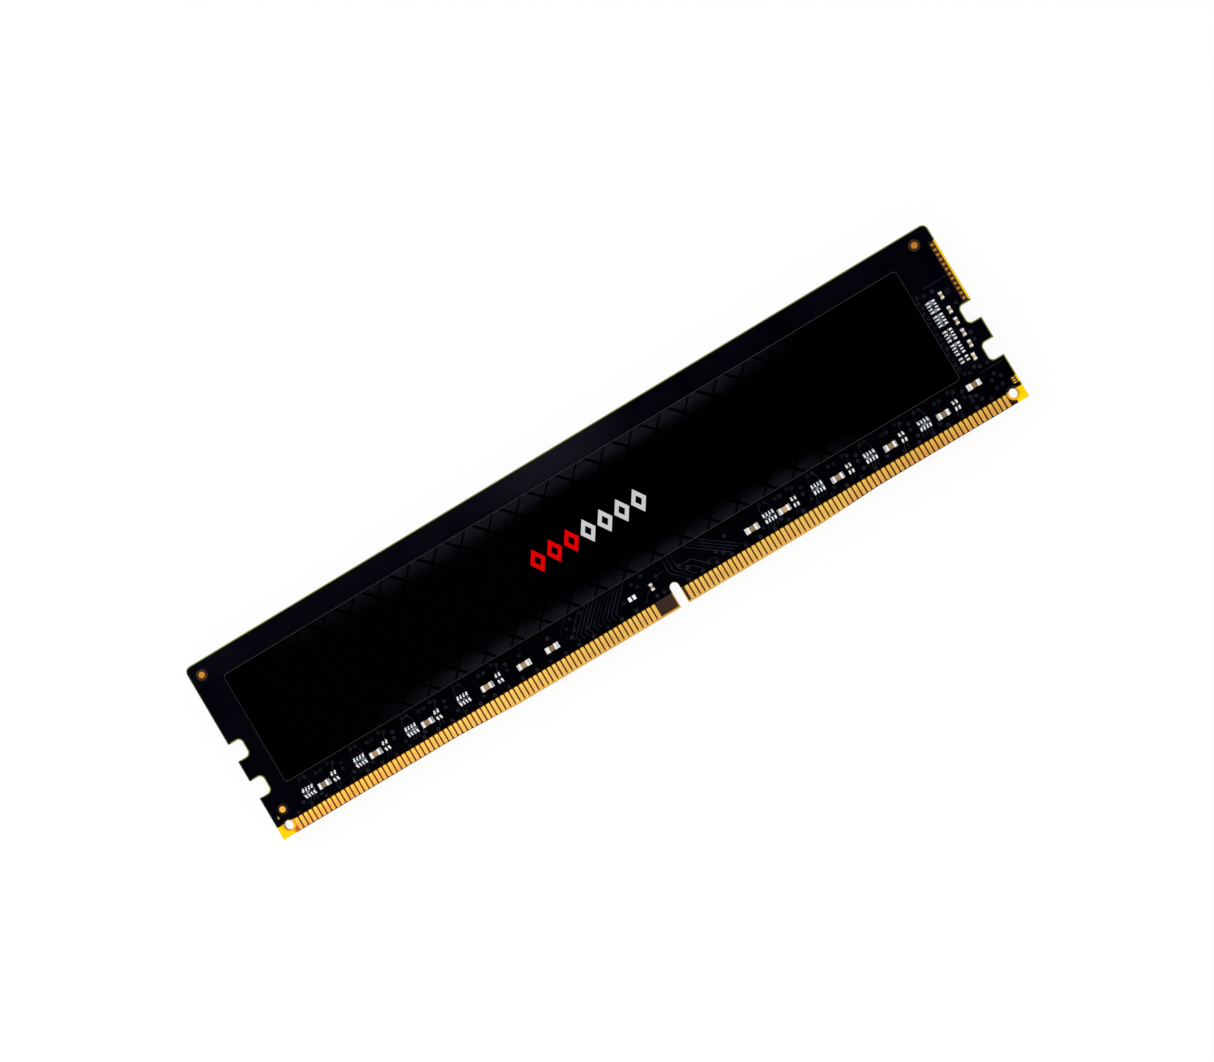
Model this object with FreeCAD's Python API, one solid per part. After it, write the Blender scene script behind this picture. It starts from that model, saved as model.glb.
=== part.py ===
import FreeCAD, Part
import math
import os

# A 288-contact memory module lying on its back: +X runs along the board from the first contact, +Y from the
# contact edge to the top edge, +Z out of the front face. The origin is under the middle of the part.
# Sizes are in millimetres. Places on the board are given from its left end (x) and its lowest edge (y).

# ---------------------------------------------------------------- board outline
BOARD_L = 133.35
BOARD_H = 31.25
TOP_CORNER_R = 1.0
END_LIFT = 0.5                 # the contact edge is this much higher at both ends
LEFT_RAMP = (32.25, 42.45)     # the lift runs out over these spans
RIGHT_RAMP = (BOARD_L - 36.5, BOARD_L - 26.3)
KEY_X = 72.25
KEY_W = 1.5
KEY_TOP = 3.9
LATCH_DEPTH = 2.2
LATCH_R = 0.75
LATCH_SPANS = ((8.0, 11.0), (14.6, 17.6))
HOLE_R = 0.75
HOLE_INSET = 1.8
HOLE_Y = 2.1
HOLE_XS = (HOLE_INSET, BOARD_L - HOLE_INSET)
HOLE_CLEAR = 0.4               # bare ring round a hole in the mask
EDGE_BEVEL = 0.08

# ---------------------------------------------------------------- board layers
CORE_T = 0.87
PLANE_T = 0.035
OUTER_T = 0.20                 # outer laminate over the copper plane
MASK_T = 0.03
COPPER_T = 0.05                # contacts, lands and traces above the laminate
PLANE_INSET = 0.3
MASK_INSET = 0.18
CORNER_CLEAR = (2.85, 1.9)     # the planes stay this far out of the lower left and right corners

# ---------------------------------------------------------------- edge contacts
CONTACT_PITCH = 0.85
CONTACT_W = 0.60
CONTACT_TOP = 2.5
MASK_LOW_Y = CONTACT_TOP + 0.1  # the mask stops above the contact strip
CONTACT_GAP = 0.09             # bare strip between the board's edge and a contact
CONTACT_CORNER = 0.13
LEFT_CONTACTS = (3.35, 77)     # first centre, count
RIGHT_CONTACTS = (73.90, 67)

# ---------------------------------------------------------------- marks and windows
FIDUCIALS = ((2.0, BOARD_H - 2.15), (BOARD_L - 3.1, BOARD_H - 2.15), (2.25, 4.7))
FIDUCIAL_R = 0.5
FIDUCIAL_CLEAR = 0.43          # bare ring round a round mark
LEFT_MARK = (0.86, 3.62, 1.14, 4.1)  # left, low, right and top side of a small bare copper mark
LADDER_X = (BOARD_L - 1.15, BOARD_L + 0.25)
LADDER_Y = (17.9, 28.3)
RUNG = (0.5, 0.34)
RUNG_X = BOARD_L - 0.75
RUNG_PITCH = 0.85
RUNG_COUNT = 12
DASH_WINDOW = (BOARD_L - 1.15, 3.2, BOARD_L + 0.25, 4.42)
DASH_YS = (3.37, 3.76, 4.15)
DASH = (0.45, 0.19)
DASH_X = BOARD_L - 0.75

# ---------------------------------------------------------------- vias and traces
VIA_R = 0.15
VIA_PAD_R = 0.30
VIA_SPACING = 0.72
# vias near the right-hand end, as distance from that end and height
END_VIAS = ((4.05, 8.2), (2.85, 8.2), (2.85, 6.2), (2.05, 5.4), (3.65, 5.4), (2.45, 4.2), (3.6, 4.0),
            (6.65, 8.4), (5.85, 8.1), (4.85, 8.6), (7.65, 4.95), (6.85, 4.7), (7.65, 4.2), (6.35, 3.8),
            (2.6, 12.2), (2.6, 13.4), (2.15, 18.4), (5.75, 21.7), (4.35, 21.7))
SMALL_VIA_EVERY = 3            # contacts between two of the vias just above the contact strip
SMALL_VIA_Y = MASK_LOW_Y + VIA_PAD_R + 0.15
TRACE_W = 0.14
TRACE_RISE = 0.02              # height of the coated tracks above the mask
TEST_PAD = (BOARD_L - 2.35, 20.5, 0.55)  # x, y and radius of the coated round pad
SLIVER_AREA = 0.02             # scraps of track between pads smaller than this are left out

# ---------------------------------------------------------------- memory packages
DRAM_XS = (9.6, 18.95, 28.35, 38.6, 92.6, 101.7, 110.9, 120.3)
DRAM_Y = 15.7
DRAM_W = 7.5
DRAM_H = 11.0
STANDOFF = 0.33                # laminate to substrate
SUBSTRATE_T = 0.16
CASE_T = 0.64
DIE = (6.2, 9.4, 0.28)
BALL_R = 0.21
BALL_PITCH = 0.8
BALL_COLUMNS = (-4, -3, -2, 2, 3, 4)
BALL_ROWS = 13
BALL_WINDOW = 0.35             # bare margin round a field of balls

# ---------------------------------------------------------------- configuration chip
SPD_AT = (67.0, 14.5)
SPD = (3.0, 2.0, 0.55)
SPD_PAD = (0.25, 0.45, 0.02)
SPD_PAD_PITCH = 0.5
SPD_PAD_INSET = 0.2            # from the case's edge to the middle of a pad

# ---------------------------------------------------------------- resistor arrays and capacitors
ARRAY_DEPTH = 1.0
ARRAY_T = 0.42
# middle and width of each terminal along one side of an array
QUAD_TERMINALS = ((-0.78, 0.30), (-0.26, 0.23), (0.26, 0.23), (0.78, 0.30))
PAIR_TERMINALS = ((-0.29, 0.29), (0.29, 0.29))
ARRAY_END = 0.07               # body beyond the outer terminals
TERMINAL_WRAP = 0.25
PLATING_T = 0.03
ARRAY_FILLET = 0.27            # length of the solder slope in front of a chip's end
ROW_FILLET = 0.28
LONE_FILLET = 0.37
SMALL_FILLET = 0.12
BIG_CAP = (1.6, 0.92, 0.8)     # length, width and height
BIG_BAND = 0.345               # length of a capacitor's plated end
SMALL_CAP = (1.0, 0.5, 0.5)
SMALL_BAND = 0.25
LAND_MARGIN = 0.025            # solder beyond the side of a capacitor
SOLDER_RISE = 0.45             # height a solder fillet climbs, as a share of the chip's height
SOLDER_LIP = 0.03              # thickness of the solder at the land's outer edge
SOLDER_SAG = 0.46              # a fillet's slope is straight at 0.5 and hollow below that

ROW_ARRAY_Y = 5.0
ROW_CAP_Y = 4.75
# x centres of each group under a memory package: four-element array, capacitor, two-element array
GROUPS = (
    (7.38, 10.0, 12.1),
    (16.72, 19.38, 21.45),
    (26.08, 28.8, 30.8),
    (35.5, 39.6, 41.9),
    (90.28, 92.75, 94.78),
    (98.85, 102.2, 104.5),
    (108.12, 111.5, 113.8),
    (117.6, 120.83, 123.2),
)
LONE_CAP_XS = (46.25, 51.3, 87.05)
LONE_SMALL_CAP = (69.28, 4.96)
BARE_LANDS = ((65.4, 5.0), (66.16, 5.0))
BARE_LAND = (0.50, 0.72)
BARE_LAND_TIN = 0.02
END_CAP = (BOARD_L - 6.3, 6.26)
END_ARRAY_X = BOARD_L - 5.53
END_QUAD_YS = (12.2, 14.57, 17.25, 19.62)
END_PAIR_Y = 10.32
END_SMALL_X = BOARD_L - 3.55
END_SMALL_YS = (11.95, 13.93, 15.96, 17.94, 20.46)
END_LOW_SMALL_CAP = (BOARD_L - 4.05, 9.97)

# ---------------------------------------------------------------- heat-spreader panel
PANEL_X = (5.25, BOARD_L - 7.75)
PANEL_Y = (7.98, BOARD_H - 4.01)
PANEL_R = 0.6
PANEL_T = 0.40
PANEL_BEVEL = 0.06
ADHESIVE_T = 0.12
ADHESIVE_INSET = 0.4
FILM_T = 0.05
FILM_INSET = 0.07
EMBLEM_AT = (sum(PANEL_X) / 2, sum(PANEL_Y) / 2 - 0.26)
EMBLEM_COUNT = 7
EMBLEM_PITCH = 3.0
EMBLEM_HALF = (1.32, 2.0)      # half width and half height of one lozenge
EMBLEM_LINE = 0.62

OCTAGON_CUT = 1 - math.sqrt(0.5)  # share of a square's side that its corners lose to make it an octagon

# ---------------------------------------------------------------- heights above the middle of the board
Z_CORE = CORE_T / 2
Z_PLANE = Z_CORE + PLANE_T
Z_LAM = Z_PLANE + OUTER_T
Z_MASK = Z_LAM + MASK_T
Z_COPPER = Z_LAM + COPPER_T
Z_SUBSTRATE = Z_LAM + STANDOFF
Z_MOULD = Z_SUBSTRATE + SUBSTRATE_T
Z_CASE = Z_MOULD + CASE_T
Z_PANEL = Z_CASE + ADHESIVE_T
Z_FILM = Z_PANEL + PANEL_T
Z_TOP = Z_FILM + FILM_T

V = FreeCAD.Vector
UP = V(0, 0, 1)
os.makedirs("parts", exist_ok=True)


# ---------------------------------------------------------------- helpers
def at(x, y, z=0.0):
    """A place on the board (from its left end and lowest edge, z from its middle) in the part's frame."""
    return V(x - BOARD_L / 2, y - BOARD_H / 2, z + Z_TOP)


def edge_y(x):
    """Height of the stepped contact edge at x."""
    left = (LEFT_RAMP[1] - x) / (LEFT_RAMP[1] - LEFT_RAMP[0])
    right = (x - RIGHT_RAMP[0]) / (RIGHT_RAMP[1] - RIGHT_RAMP[0])
    return END_LIFT * min(1.0, max(0.0, left, right))


def polygon(points):
    corners = [at(x, y) for x, y in points]
    return Part.Face(Part.makePolygon(corners + corners[:1]))


def rect(x0, y0, x1, y1):
    return polygon([(x0, y0), (x1, y0), (x1, y1), (x0, y1)])


def disc(x, y, r):
    return Part.Face(Part.Wire(Part.makeCircle(r, at(x, y), UP)))


def octagon(x, y, r):
    """A small round thing, drawn with eight sides because there are hundreds of them."""
    return polygon([(x + r * math.cos(math.radians(a)), y + r * math.sin(math.radians(a)))
                    for a in range(0, 360, 45)])


def cut_rect(x0, y0, x1, y1, c):
    """A small rectangle with its corners cut off."""
    return polygon([(x0 + c, y0), (x1 - c, y0), (x1, y0 + c), (x1, y1 - c), (x1 - c, y1), (x0 + c, y1),
                    (x0, y1 - c), (x0, y0 + c)])


def round_rect(x0, y0, x1, y1, r):
    """A rectangle with four rounded corners."""
    edges = []
    turns = ((x1 - r, y0 + r, -90), (x1 - r, y1 - r, 0), (x0 + r, y1 - r, 90), (x0 + r, y0 + r, 180))
    for cx, cy, start in turns:
        edges.append(Part.makeCircle(r, at(cx, cy), UP, start, start + 90))
    lines = []
    for i, arc in enumerate(edges):
        begin = arc.Vertexes[-1].Point
        end = edges[(i + 1) % 4].Vertexes[0].Point
        if begin.distanceToPoint(end) > 1e-6:
            lines.append(Part.makeLine(begin, end))
    return Part.Face(Part.Wire(Part.__sortEdges__(edges + lines)))


def strip(points, width):
    """A blunt-ended track of one width along a chain of points."""
    pieces = []
    for (xa, ya), (xb, yb) in zip(points, points[1:]):
        run = math.hypot(xb - xa, yb - ya)
        bar = cut_rect(-width / 2, -width / 2, run + width / 2, width / 2, width * OCTAGON_CUT)
        bar.translate(V(0, 0, 0) - at(0, 0))
        bar.rotate(V(0, 0, 0), UP, math.degrees(math.atan2(yb - ya, xb - xa)))
        bar.translate(at(xa, ya))
        pieces.append(bar)
    return pieces


def sheet(face, z0, z1):
    """A flat outline made solid between two heights."""
    low = face.copy()
    low.translate(V(0, 0, z0))
    return low.extrude(V(0, 0, z1 - z0))


def sheets(faces, z0, z1):
    return [sheet(face, z0, z1) for face in faces]


def block(x, y, z, lx, ly, lz):
    """A box centred on x and y, standing on z, about the origin."""
    return Part.makeBox(lx, ly, lz, V(x - lx / 2, y - ly / 2, z))


def moved(shape, turn, target):
    """A copy of a piece that was made about the origin, turned and then moved."""
    copy = shape.copy()
    copy.rotate(V(0, 0, 0), UP, turn)
    copy.translate(target)
    return copy


def placed(shape, x, y, turn=0.0, z=0.0):
    """A copy of a piece that was made about the origin, turned and moved to its place on the board."""
    return moved(shape, turn, at(x, y, z))


def flipped(solids):
    """The same pieces on the back of the board."""
    return [solid.mirror(V(0, 0, Z_TOP), UP) for solid in solids]


def save(node, solids):
    Part.makeCompound(solids).exportStep("parts/" + node + ".step")
    print(node, len(solids), "solids")


def save_both(node, solids):
    """One node for the front of the board and its twin for the back."""
    save(node + "_front", solids)
    save(node + "_back", flipped(solids))


# ---------------------------------------------------------------- places of the small parts
quads = [(g[0], ROW_ARRAY_Y, 0) for g in GROUPS]
quads += [(END_ARRAY_X, y, 90) for y in END_QUAD_YS]
pairs = [(g[2], ROW_ARRAY_Y, 0) for g in GROUPS]
pairs += [(END_ARRAY_X, END_PAIR_Y, 90)]
row_caps = [(g[1], ROW_CAP_Y, 0) for g in GROUPS]
lone_caps = [(x, ROW_CAP_Y, 0) for x in LONE_CAP_XS]
lone_caps += [(END_CAP[0], END_CAP[1], 0)]
small_caps = [(LONE_SMALL_CAP[0], LONE_SMALL_CAP[1], 90)]
small_caps += [(END_SMALL_X, y, 90) for y in END_SMALL_YS]
small_caps += [(END_LOW_SMALL_CAP[0], END_LOW_SMALL_CAP[1], 90)]


def via_places():
    """Centres of the plated vias: beside every group, in the middle of the board and up the right-hand end."""
    spots = []
    for quad, cap, pair in GROUPS:
        spots += [(quad - 0.5, 7.35), (quad + 0.35, 7.35), (quad - 1.72, 4.0)]
        spots += [(cap - 0.4, 6.9), (cap + 0.45, 6.9), (cap - 1.15, 3.75)]
        spots += [(pair - 0.15, 7.3), (pair + 0.6, 7.0), (pair + 1.6, 5.35), (pair + 1.8, 6.3)]
    spots += [(46.3, 6.4), (51.4, 6.4), (55.9, 7.2), (57.7, 7.2), (54.65, 6.15), (55.6, 5.4), (54.65, 4.6)]
    spots += [(57.7, 4.6), (66.65, 6.9), (68.65, 7.3), (64.3, 5.0), (67.4, 6.1), (69.3, 3.35), (70.6, 3.35)]
    spots += [(70.65, 6.15), (74.65, 5.6), (75.5, 4.75), (80.5, 4.6), (81.4, 3.9), (78.8, 3.9), (82.8, 6.0)]
    spots += [(BOARD_L - inset, y) for inset, y in END_VIAS]
    for step in range(15):
        spots.append((BOARD_L - 7.05 + 0.1 * (-1) ** step, 9.4 + 0.9 * step))
    return spots


def spaced(spots):
    """The places that keep their distance from all the earlier ones."""
    kept = []
    for x, y in spots:
        if all(math.hypot(x - a, y - b) > VIA_SPACING for a, b in kept):
            kept.append((x, y))
    return kept


def small_via_places():
    """Centres of the vias in a row just above the contact strip."""
    spots = []
    for first, count in (LEFT_CONTACTS, RIGHT_CONTACTS):
        for i in range(1, count - 1, SMALL_VIA_EVERY):
            spots.append((first + i * CONTACT_PITCH, SMALL_VIA_Y))
    return spots


def trace_chains():
    """The copper tracks that run outside the panel, as chains of points."""
    chains = []
    for i in range(10):
        x = 59.0 + 0.77 * i
        chains.append([(x, 7.9), (x - 3.7 + 0.02 * i, 4.3), (x - 3.4 + 0.02 * i, 3.5)])
    chains += [[(55.4, 7.9), (53.4, 5.9)], [(57.9, 7.9), (55.0, 5.0), (55.0, 3.9)], [(67.3, 3.3), (68.7, 4.8)]]
    for i in range(3):
        x = 72.65 + 0.77 * i
        chains.append([(x, 7.9), (x, 5.4), (x + 2.1, 3.3)])
    chains += [[(74.65, 5.6), (76.65, 5.6), (78.9, 3.35)], [(75.5, 4.75), (76.2, 4.75), (77.5, 3.45)]]
    chains += [[(70.65, 6.15), (72.0, 6.15)], [(78.8, 3.9), (79.6, 4.1), (80.2, 3.5)]]
    for i in range(4):
        x = 76.4 + 0.8 * i
        chains.append([(x, 7.9), (x + 5.9, 3.5)])
    for quad, cap, pair in GROUPS:
        for centre, terminals in ((quad, QUAD_TERMINALS), (pair, PAIR_TERMINALS)):
            for aside, width in terminals:
                x = centre + aside
                chains.append([(x, 4.1), (x - 0.25, 3.4)])
        chains.append([(quad - 0.75, 5.9), (quad - 0.95, 6.6), (quad - 0.5, 7.35)])
        chains.append([(quad + 0.75, 5.9), (quad + 0.85, 6.5), (quad + 0.35, 7.35)])
        chains.append([(pair + 0.25, 5.9), (pair + 0.25, 6.3), (pair + 0.6, 7.0)])
    chains += [[(BOARD_L - 5.35, 22.7), (BOARD_L - 1.35, 22.7)], [(BOARD_L - 4.75, 7.3), (BOARD_L - 0.65, 7.3)]]
    return chains


# ---------------------------------------------------------------- one chip of each sort, made about the origin
def solder_wedge(inner, outer, foot, width, rise):
    """Solder on a land: flat under the chip's end, then a hollow slope from the end face down to the board."""
    lip = COPPER_T + SOLDER_LIP
    base = [V(inner, 0, 0), V(outer, 0, 0), V(outer, 0, lip)]
    top = V(foot, 0, COPPER_T + rise)
    middle = V(foot + SOLDER_SAG * (outer - foot), 0, lip + SOLDER_SAG * (top.z - lip))
    edges = [Part.makeLine(base[0], base[1]), Part.makeLine(base[1], base[2])]
    edges.append(Part.Arc(base[2], middle, top).toShape())
    edges.append(Part.makeLine(top, V(foot, 0, COPPER_T)))
    edges.append(Part.makeLine(V(foot, 0, COPPER_T), V(inner, 0, COPPER_T)))
    edges.append(Part.makeLine(V(inner, 0, COPPER_T), base[0]))
    wedge = Part.Face(Part.Wire(edges)).extrude(V(0, width, 0))
    wedge.translate(V(0, -width / 2, 0))
    return wedge


def both_ends(shape):
    return [shape, shape.mirror(V(0, 0, 0), V(1, 0, 0))]


def capacitor(size, band, fillet):
    """Body, end caps and solder of one chip capacitor that lies along X."""
    length, width, height = size
    inner = (length - 2 * PLATING_T, width - 2 * PLATING_T, height - 2 * PLATING_T)
    body = block(0, 0, COPPER_T + PLATING_T, *inner)
    cap = block((length - band) / 2, 0, COPPER_T, band, width, height).cut(body)
    solder = solder_wedge(length / 2 - band, length / 2 + fillet, length / 2, width + 2 * LAND_MARGIN,
                          height * SOLDER_RISE)
    return {"body": [body], "ends": both_ends(cap), "solder": both_ends(solder)}


def resistor_array(terminals):
    """Body, terminals and solder of one array whose elements stand side by side along X."""
    length = 2 * (terminals[-1][0] + terminals[-1][1] / 2 + ARRAY_END)
    body = block(0, 0, COPPER_T + PLATING_T, length, ARRAY_DEPTH, ARRAY_T)
    ends = []
    solder = []
    face = ARRAY_DEPTH / 2 + PLATING_T
    wrap = TERMINAL_WRAP + PLATING_T
    for aside, width in terminals:
        terminal = block(face - wrap / 2, 0, COPPER_T, wrap, width, ARRAY_T + 2 * PLATING_T)
        wedge = solder_wedge(face - wrap, face + ARRAY_FILLET, face, width, ARRAY_T * SOLDER_RISE)
        for turn in (90, -90):
            ends.append(moved(terminal, turn, V(aside, 0, 0)).cut(body))
            solder.append(moved(wedge, turn, V(aside, 0, 0)))
    return {"body": [body], "ends": ends, "solder": solder}


def spread(chip, places):
    """Every copy of a chip, sorted into bodies, ends and solder."""
    out = {"body": [], "ends": [], "solder": []}
    for x, y, turn in places:
        for name, solids in chip.items():
            out[name] += [placed(solid, x, y, turn, Z_LAM) for solid in solids]
    return out


def footprint(solid):
    """The rectangle of board that a piece of solder covers."""
    box = solid.BoundBox
    dx = BOARD_L / 2
    dy = BOARD_H / 2
    return rect(box.XMin + dx, box.YMin + dy, box.XMax + dx, box.YMax + dy)


def joined(*spreads):
    """Several spreads in one."""
    return {name: sum((one[name] for one in spreads), []) for name in spreads[0]}


arrays = joined(spread(resistor_array(QUAD_TERMINALS), quads), spread(resistor_array(PAIR_TERMINALS), pairs))
caps = joined(spread(capacitor(BIG_CAP, BIG_BAND, ROW_FILLET), row_caps),
              spread(capacitor(BIG_CAP, BIG_BAND, LONE_FILLET), lone_caps),
              spread(capacitor(SMALL_CAP, SMALL_BAND, SMALL_FILLET), small_caps))
bare_lands = [rect(x - BARE_LAND[0] / 2, y - BARE_LAND[1] / 2, x + BARE_LAND[0] / 2, y + BARE_LAND[1] / 2)
              for x, y in BARE_LANDS]
lands = [footprint(solid) for solid in arrays["solder"] + caps["solder"]] + bare_lands


# ---------------------------------------------------------------- the board's outline
def board_outline():
    points = [(0, END_LIFT), (LEFT_RAMP[0], END_LIFT), (LEFT_RAMP[1], 0), (RIGHT_RAMP[0], 0),
              (RIGHT_RAMP[1], END_LIFT), (BOARD_L, END_LIFT), (BOARD_L, BOARD_H - TOP_CORNER_R)]
    edges = [Part.makeLine(at(*a), at(*b)) for a, b in zip(points, points[1:])]
    r = TOP_CORNER_R
    edges.append(Part.makeCircle(r, at(BOARD_L - r, BOARD_H - r), UP, 0, 90))
    edges.append(Part.makeLine(at(BOARD_L - r, BOARD_H), at(r, BOARD_H)))
    edges.append(Part.makeCircle(r, at(r, BOARD_H - r), UP, 90, 180))
    edges.append(Part.makeLine(at(0, BOARD_H - r), at(0, END_LIFT)))
    face = Part.Face(Part.Wire(edges))
    cuts = [round_rect(KEY_X - KEY_W / 2, -KEY_W, KEY_X + KEY_W / 2, KEY_TOP, KEY_W / 2 * 0.999)]
    for low, high in LATCH_SPANS:
        for x in (0, BOARD_L):
            cuts.append(round_rect(x - LATCH_DEPTH, low, x + LATCH_DEPTH, high, LATCH_R))
    cuts += [disc(x, HOLE_Y, HOLE_R) for x in HOLE_XS]
    return face.cut(cuts).Faces[0]


def clear_of_lands(spots):
    """The places where a via's pad touches no land."""
    boxes = [land.BoundBox for land in lands]
    kept = []
    for x, y in spots:
        spot = at(x, y)
        gaps = []
        for box in boxes:
            aside = max(box.XMin - spot.x, 0, spot.x - box.XMax)
            gaps.append(math.hypot(aside, max(box.YMin - spot.y, 0, spot.y - box.YMax)))
        if min(gaps) > VIA_PAD_R:
            kept.append((x, y))
    return kept


outline = board_outline()
vias = clear_of_lands(spaced(via_places() + small_via_places()))
barrels = [octagon(x, y, VIA_R) for x, y in vias]
drilled = outline.cut(barrels).Faces[0]

corners = [rect(-1, -1, CORNER_CLEAR[0], MASK_LOW_Y),
           rect(BOARD_L - CORNER_CLEAR[1], -1, BOARD_L + 1, MASK_LOW_Y)]
hole_rims = [disc(x, HOLE_Y, HOLE_R + PLANE_INSET) for x in HOLE_XS]
plane_face = outline.makeOffset2D(-PLANE_INSET).Faces[0].cut(corners + hole_rims + barrels).Faces[0]
plane = sheet(plane_face, Z_CORE, Z_PLANE)


def bevelled(laminate):
    """The outer laminate with its outer edge taken off along the contacts."""
    top = Z_TOP + Z_LAM - 1e-3
    low = at(0, END_LIFT).y + 1e-3
    edges = []
    for edge in laminate.Edges:
        box = edge.BoundBox
        if box.ZMin > top and box.YMax < low and box.XLength > 1.0:
            edges.append(edge)
    return laminate.makeChamfer(EDGE_BEVEL, edges)


outer = bevelled(sheet(drilled, Z_CORE, Z_LAM)).cut(plane)
save("core_laminate", [sheet(drilled, -Z_CORE, Z_CORE)])
save_both("outer_laminate", outer.Solids)
save("ground_plane", [plane])
save("power_plane", flipped([plane]))


# ---------------------------------------------------------------- plated vias
def via_barrel():
    """A barrel through the board with a ring of a pad on each face, in one piece."""
    stem = sheet(octagon(0, 0, VIA_R), -Z_MASK, Z_MASK)
    pad = octagon(0, 0, VIA_PAD_R)
    ring = pad.cut(octagon(0, 0, VIA_R))
    whole = stem.fuse([sheet(ring, Z_LAM, Z_COPPER), sheet(ring, -Z_COPPER, -Z_LAM)])
    whole.translate(V(0, 0, 0) - at(0, 0))
    return whole.Solids[0]


barrel = via_barrel()
save("plated_vias", [placed(barrel, x, y) for x, y in vias])


# ---------------------------------------------------------------- edge contacts
def contact_row(first, count):
    faces = []
    for i in range(count):
        x = first + i * CONTACT_PITCH
        faces.append(cut_rect(x - CONTACT_W / 2, edge_y(x) + CONTACT_GAP, x + CONTACT_W / 2, CONTACT_TOP,
                              CONTACT_CORNER))
    return sheets(faces, Z_LAM, Z_COPPER)


save_both("left_contacts", contact_row(*LEFT_CONTACTS))
save_both("right_contacts", contact_row(*RIGHT_CONTACTS))


# ---------------------------------------------------------------- copper marks, traces and solder mask
def bars(centres, size):
    return [rect(x - size[0] / 2, y - size[1] / 2, x + size[0] / 2, y + size[1] / 2) for x, y in centres]


rungs = [(RUNG_X, LADDER_Y[0] + 0.5 + RUNG_PITCH * i) for i in range(RUNG_COUNT)]
marks = [disc(x, y, FIDUCIAL_R) for x, y in FIDUCIALS]
marks += bars(rungs, RUNG)
marks += bars([(DASH_X, y) for y in DASH_YS], DASH)
marks.append(rect(*LEFT_MARK))
save_both("copper_marks", sheets(marks, Z_LAM, Z_COPPER))

pads = [octagon(x, y, VIA_PAD_R) for x, y in vias]
tracks = []
for chain in trace_chains():
    tracks += strip(chain, TRACE_W)
tracks.append(octagon(TEST_PAD[0], TEST_PAD[1], TEST_PAD[2]))
copper = tracks[0].fuse(tracks[1:]).removeSplitter()
copper = copper.cut(pads + lands)
traces = [face for face in copper.Faces if face.Area > SLIVER_AREA]
save_both("traces", sheets(traces, Z_MASK, Z_MASK + TRACE_RISE))

balls = []
for centre in DRAM_XS:
    for column in BALL_COLUMNS:
        for row in range(BALL_ROWS):
            balls.append((centre + column * BALL_PITCH, DRAM_Y + (row - (BALL_ROWS - 1) / 2) * BALL_PITCH))
ball_fields = []
for centre in DRAM_XS:
    tall = (BALL_ROWS - 1) / 2 * BALL_PITCH + BALL_WINDOW
    for near, far in ((BALL_COLUMNS[0], BALL_COLUMNS[2]), (BALL_COLUMNS[3], BALL_COLUMNS[5])):
        ball_fields.append(rect(centre + near * BALL_PITCH - BALL_WINDOW, DRAM_Y - tall,
                                centre + far * BALL_PITCH + BALL_WINDOW, DRAM_Y + tall))

mask_face = outline.makeOffset2D(-MASK_INSET).Faces[0]
windows = [rect(-1, -1, BOARD_L + 1, MASK_LOW_Y)]
windows += [disc(x, y, FIDUCIAL_R + FIDUCIAL_CLEAR) for x, y in FIDUCIALS]
windows.append(rect(LADDER_X[0], LADDER_Y[0], LADDER_X[1], LADDER_Y[1]))
windows += [rect(*DASH_WINDOW), rect(*LEFT_MARK)]
windows += [disc(x, HOLE_Y, HOLE_R + HOLE_CLEAR) for x in HOLE_XS]
windows += pads + lands + ball_fields
spd_pads = []
for side in (-1, 1):
    for i in range(4):
        along = SPD_AT[0] + (i - 1.5) * SPD_PAD_PITCH
        spd_pads.append((along, SPD_AT[1] + side * (SPD[1] / 2 - SPD_PAD_INSET)))
windows += bars(spd_pads, SPD_PAD[:2])
mask_face = mask_face.cut(windows)
save_both("solder_mask", sheets(mask_face.Faces, Z_LAM, Z_MASK))

# ---------------------------------------------------------------- small parts on the board
save_both("resistor_bodies", arrays["body"])
save_both("resistor_terminals", arrays["ends"])
save_both("capacitor_bodies", caps["body"])
save_both("capacitor_ends", caps["ends"])
tinned_lands = sheets(bare_lands, Z_LAM, Z_COPPER + BARE_LAND_TIN)
save_both("solder_joints", arrays["solder"] + caps["solder"] + tinned_lands)

spd_z = Z_COPPER + SPD_PAD[2]
save("config_chip_case", [placed(block(0, 0, 0, *SPD), SPD_AT[0], SPD_AT[1], 0, spd_z)])
save("config_chip_pads", sheets(bars(spd_pads, SPD_PAD[:2]), Z_LAM, spd_z))

# ---------------------------------------------------------------- memory packages
substrates = []
dies = []
ball = sheet(octagon(0, 0, BALL_R), 0, STANDOFF)
ball.translate(V(0, 0, 0) - at(0, 0))
for number, x in enumerate(DRAM_XS, 1):
    die = placed(block(0, 0, 0, *DIE), x, DRAM_Y, 0, Z_MOULD)
    case = placed(block(0, 0, 0, DRAM_W, DRAM_H, CASE_T), x, DRAM_Y, 0, Z_MOULD).cut(die)
    substrates.append(placed(block(0, 0, 0, DRAM_W, DRAM_H, SUBSTRATE_T), x, DRAM_Y, 0, Z_SUBSTRATE))
    dies.append(die)
    save_both("memory_case_" + str(number), [case])
save_both("memory_substrates", substrates)
save_both("memory_dies", dies)
save_both("solder_balls", [placed(ball, x, y, 0, Z_LAM) for x, y in balls])


# ---------------------------------------------------------------- heat-spreader panel
def panel_face(inset):
    return round_rect(PANEL_X[0] + inset, PANEL_Y[0] + inset, PANEL_X[1] - inset, PANEL_Y[1] - inset,
                      PANEL_R - inset / 2)


def lozenge(x, y, inset):
    """A diamond outline's outer or inner edge, moved in by the line's width."""
    wide, tall = EMBLEM_HALF
    slope = math.hypot(wide, tall) / (wide * tall)
    share = 1 - inset * slope
    return polygon([(x - wide * share, y), (x, y - tall * share), (x + wide * share, y), (x, y + tall * share)])


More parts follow.
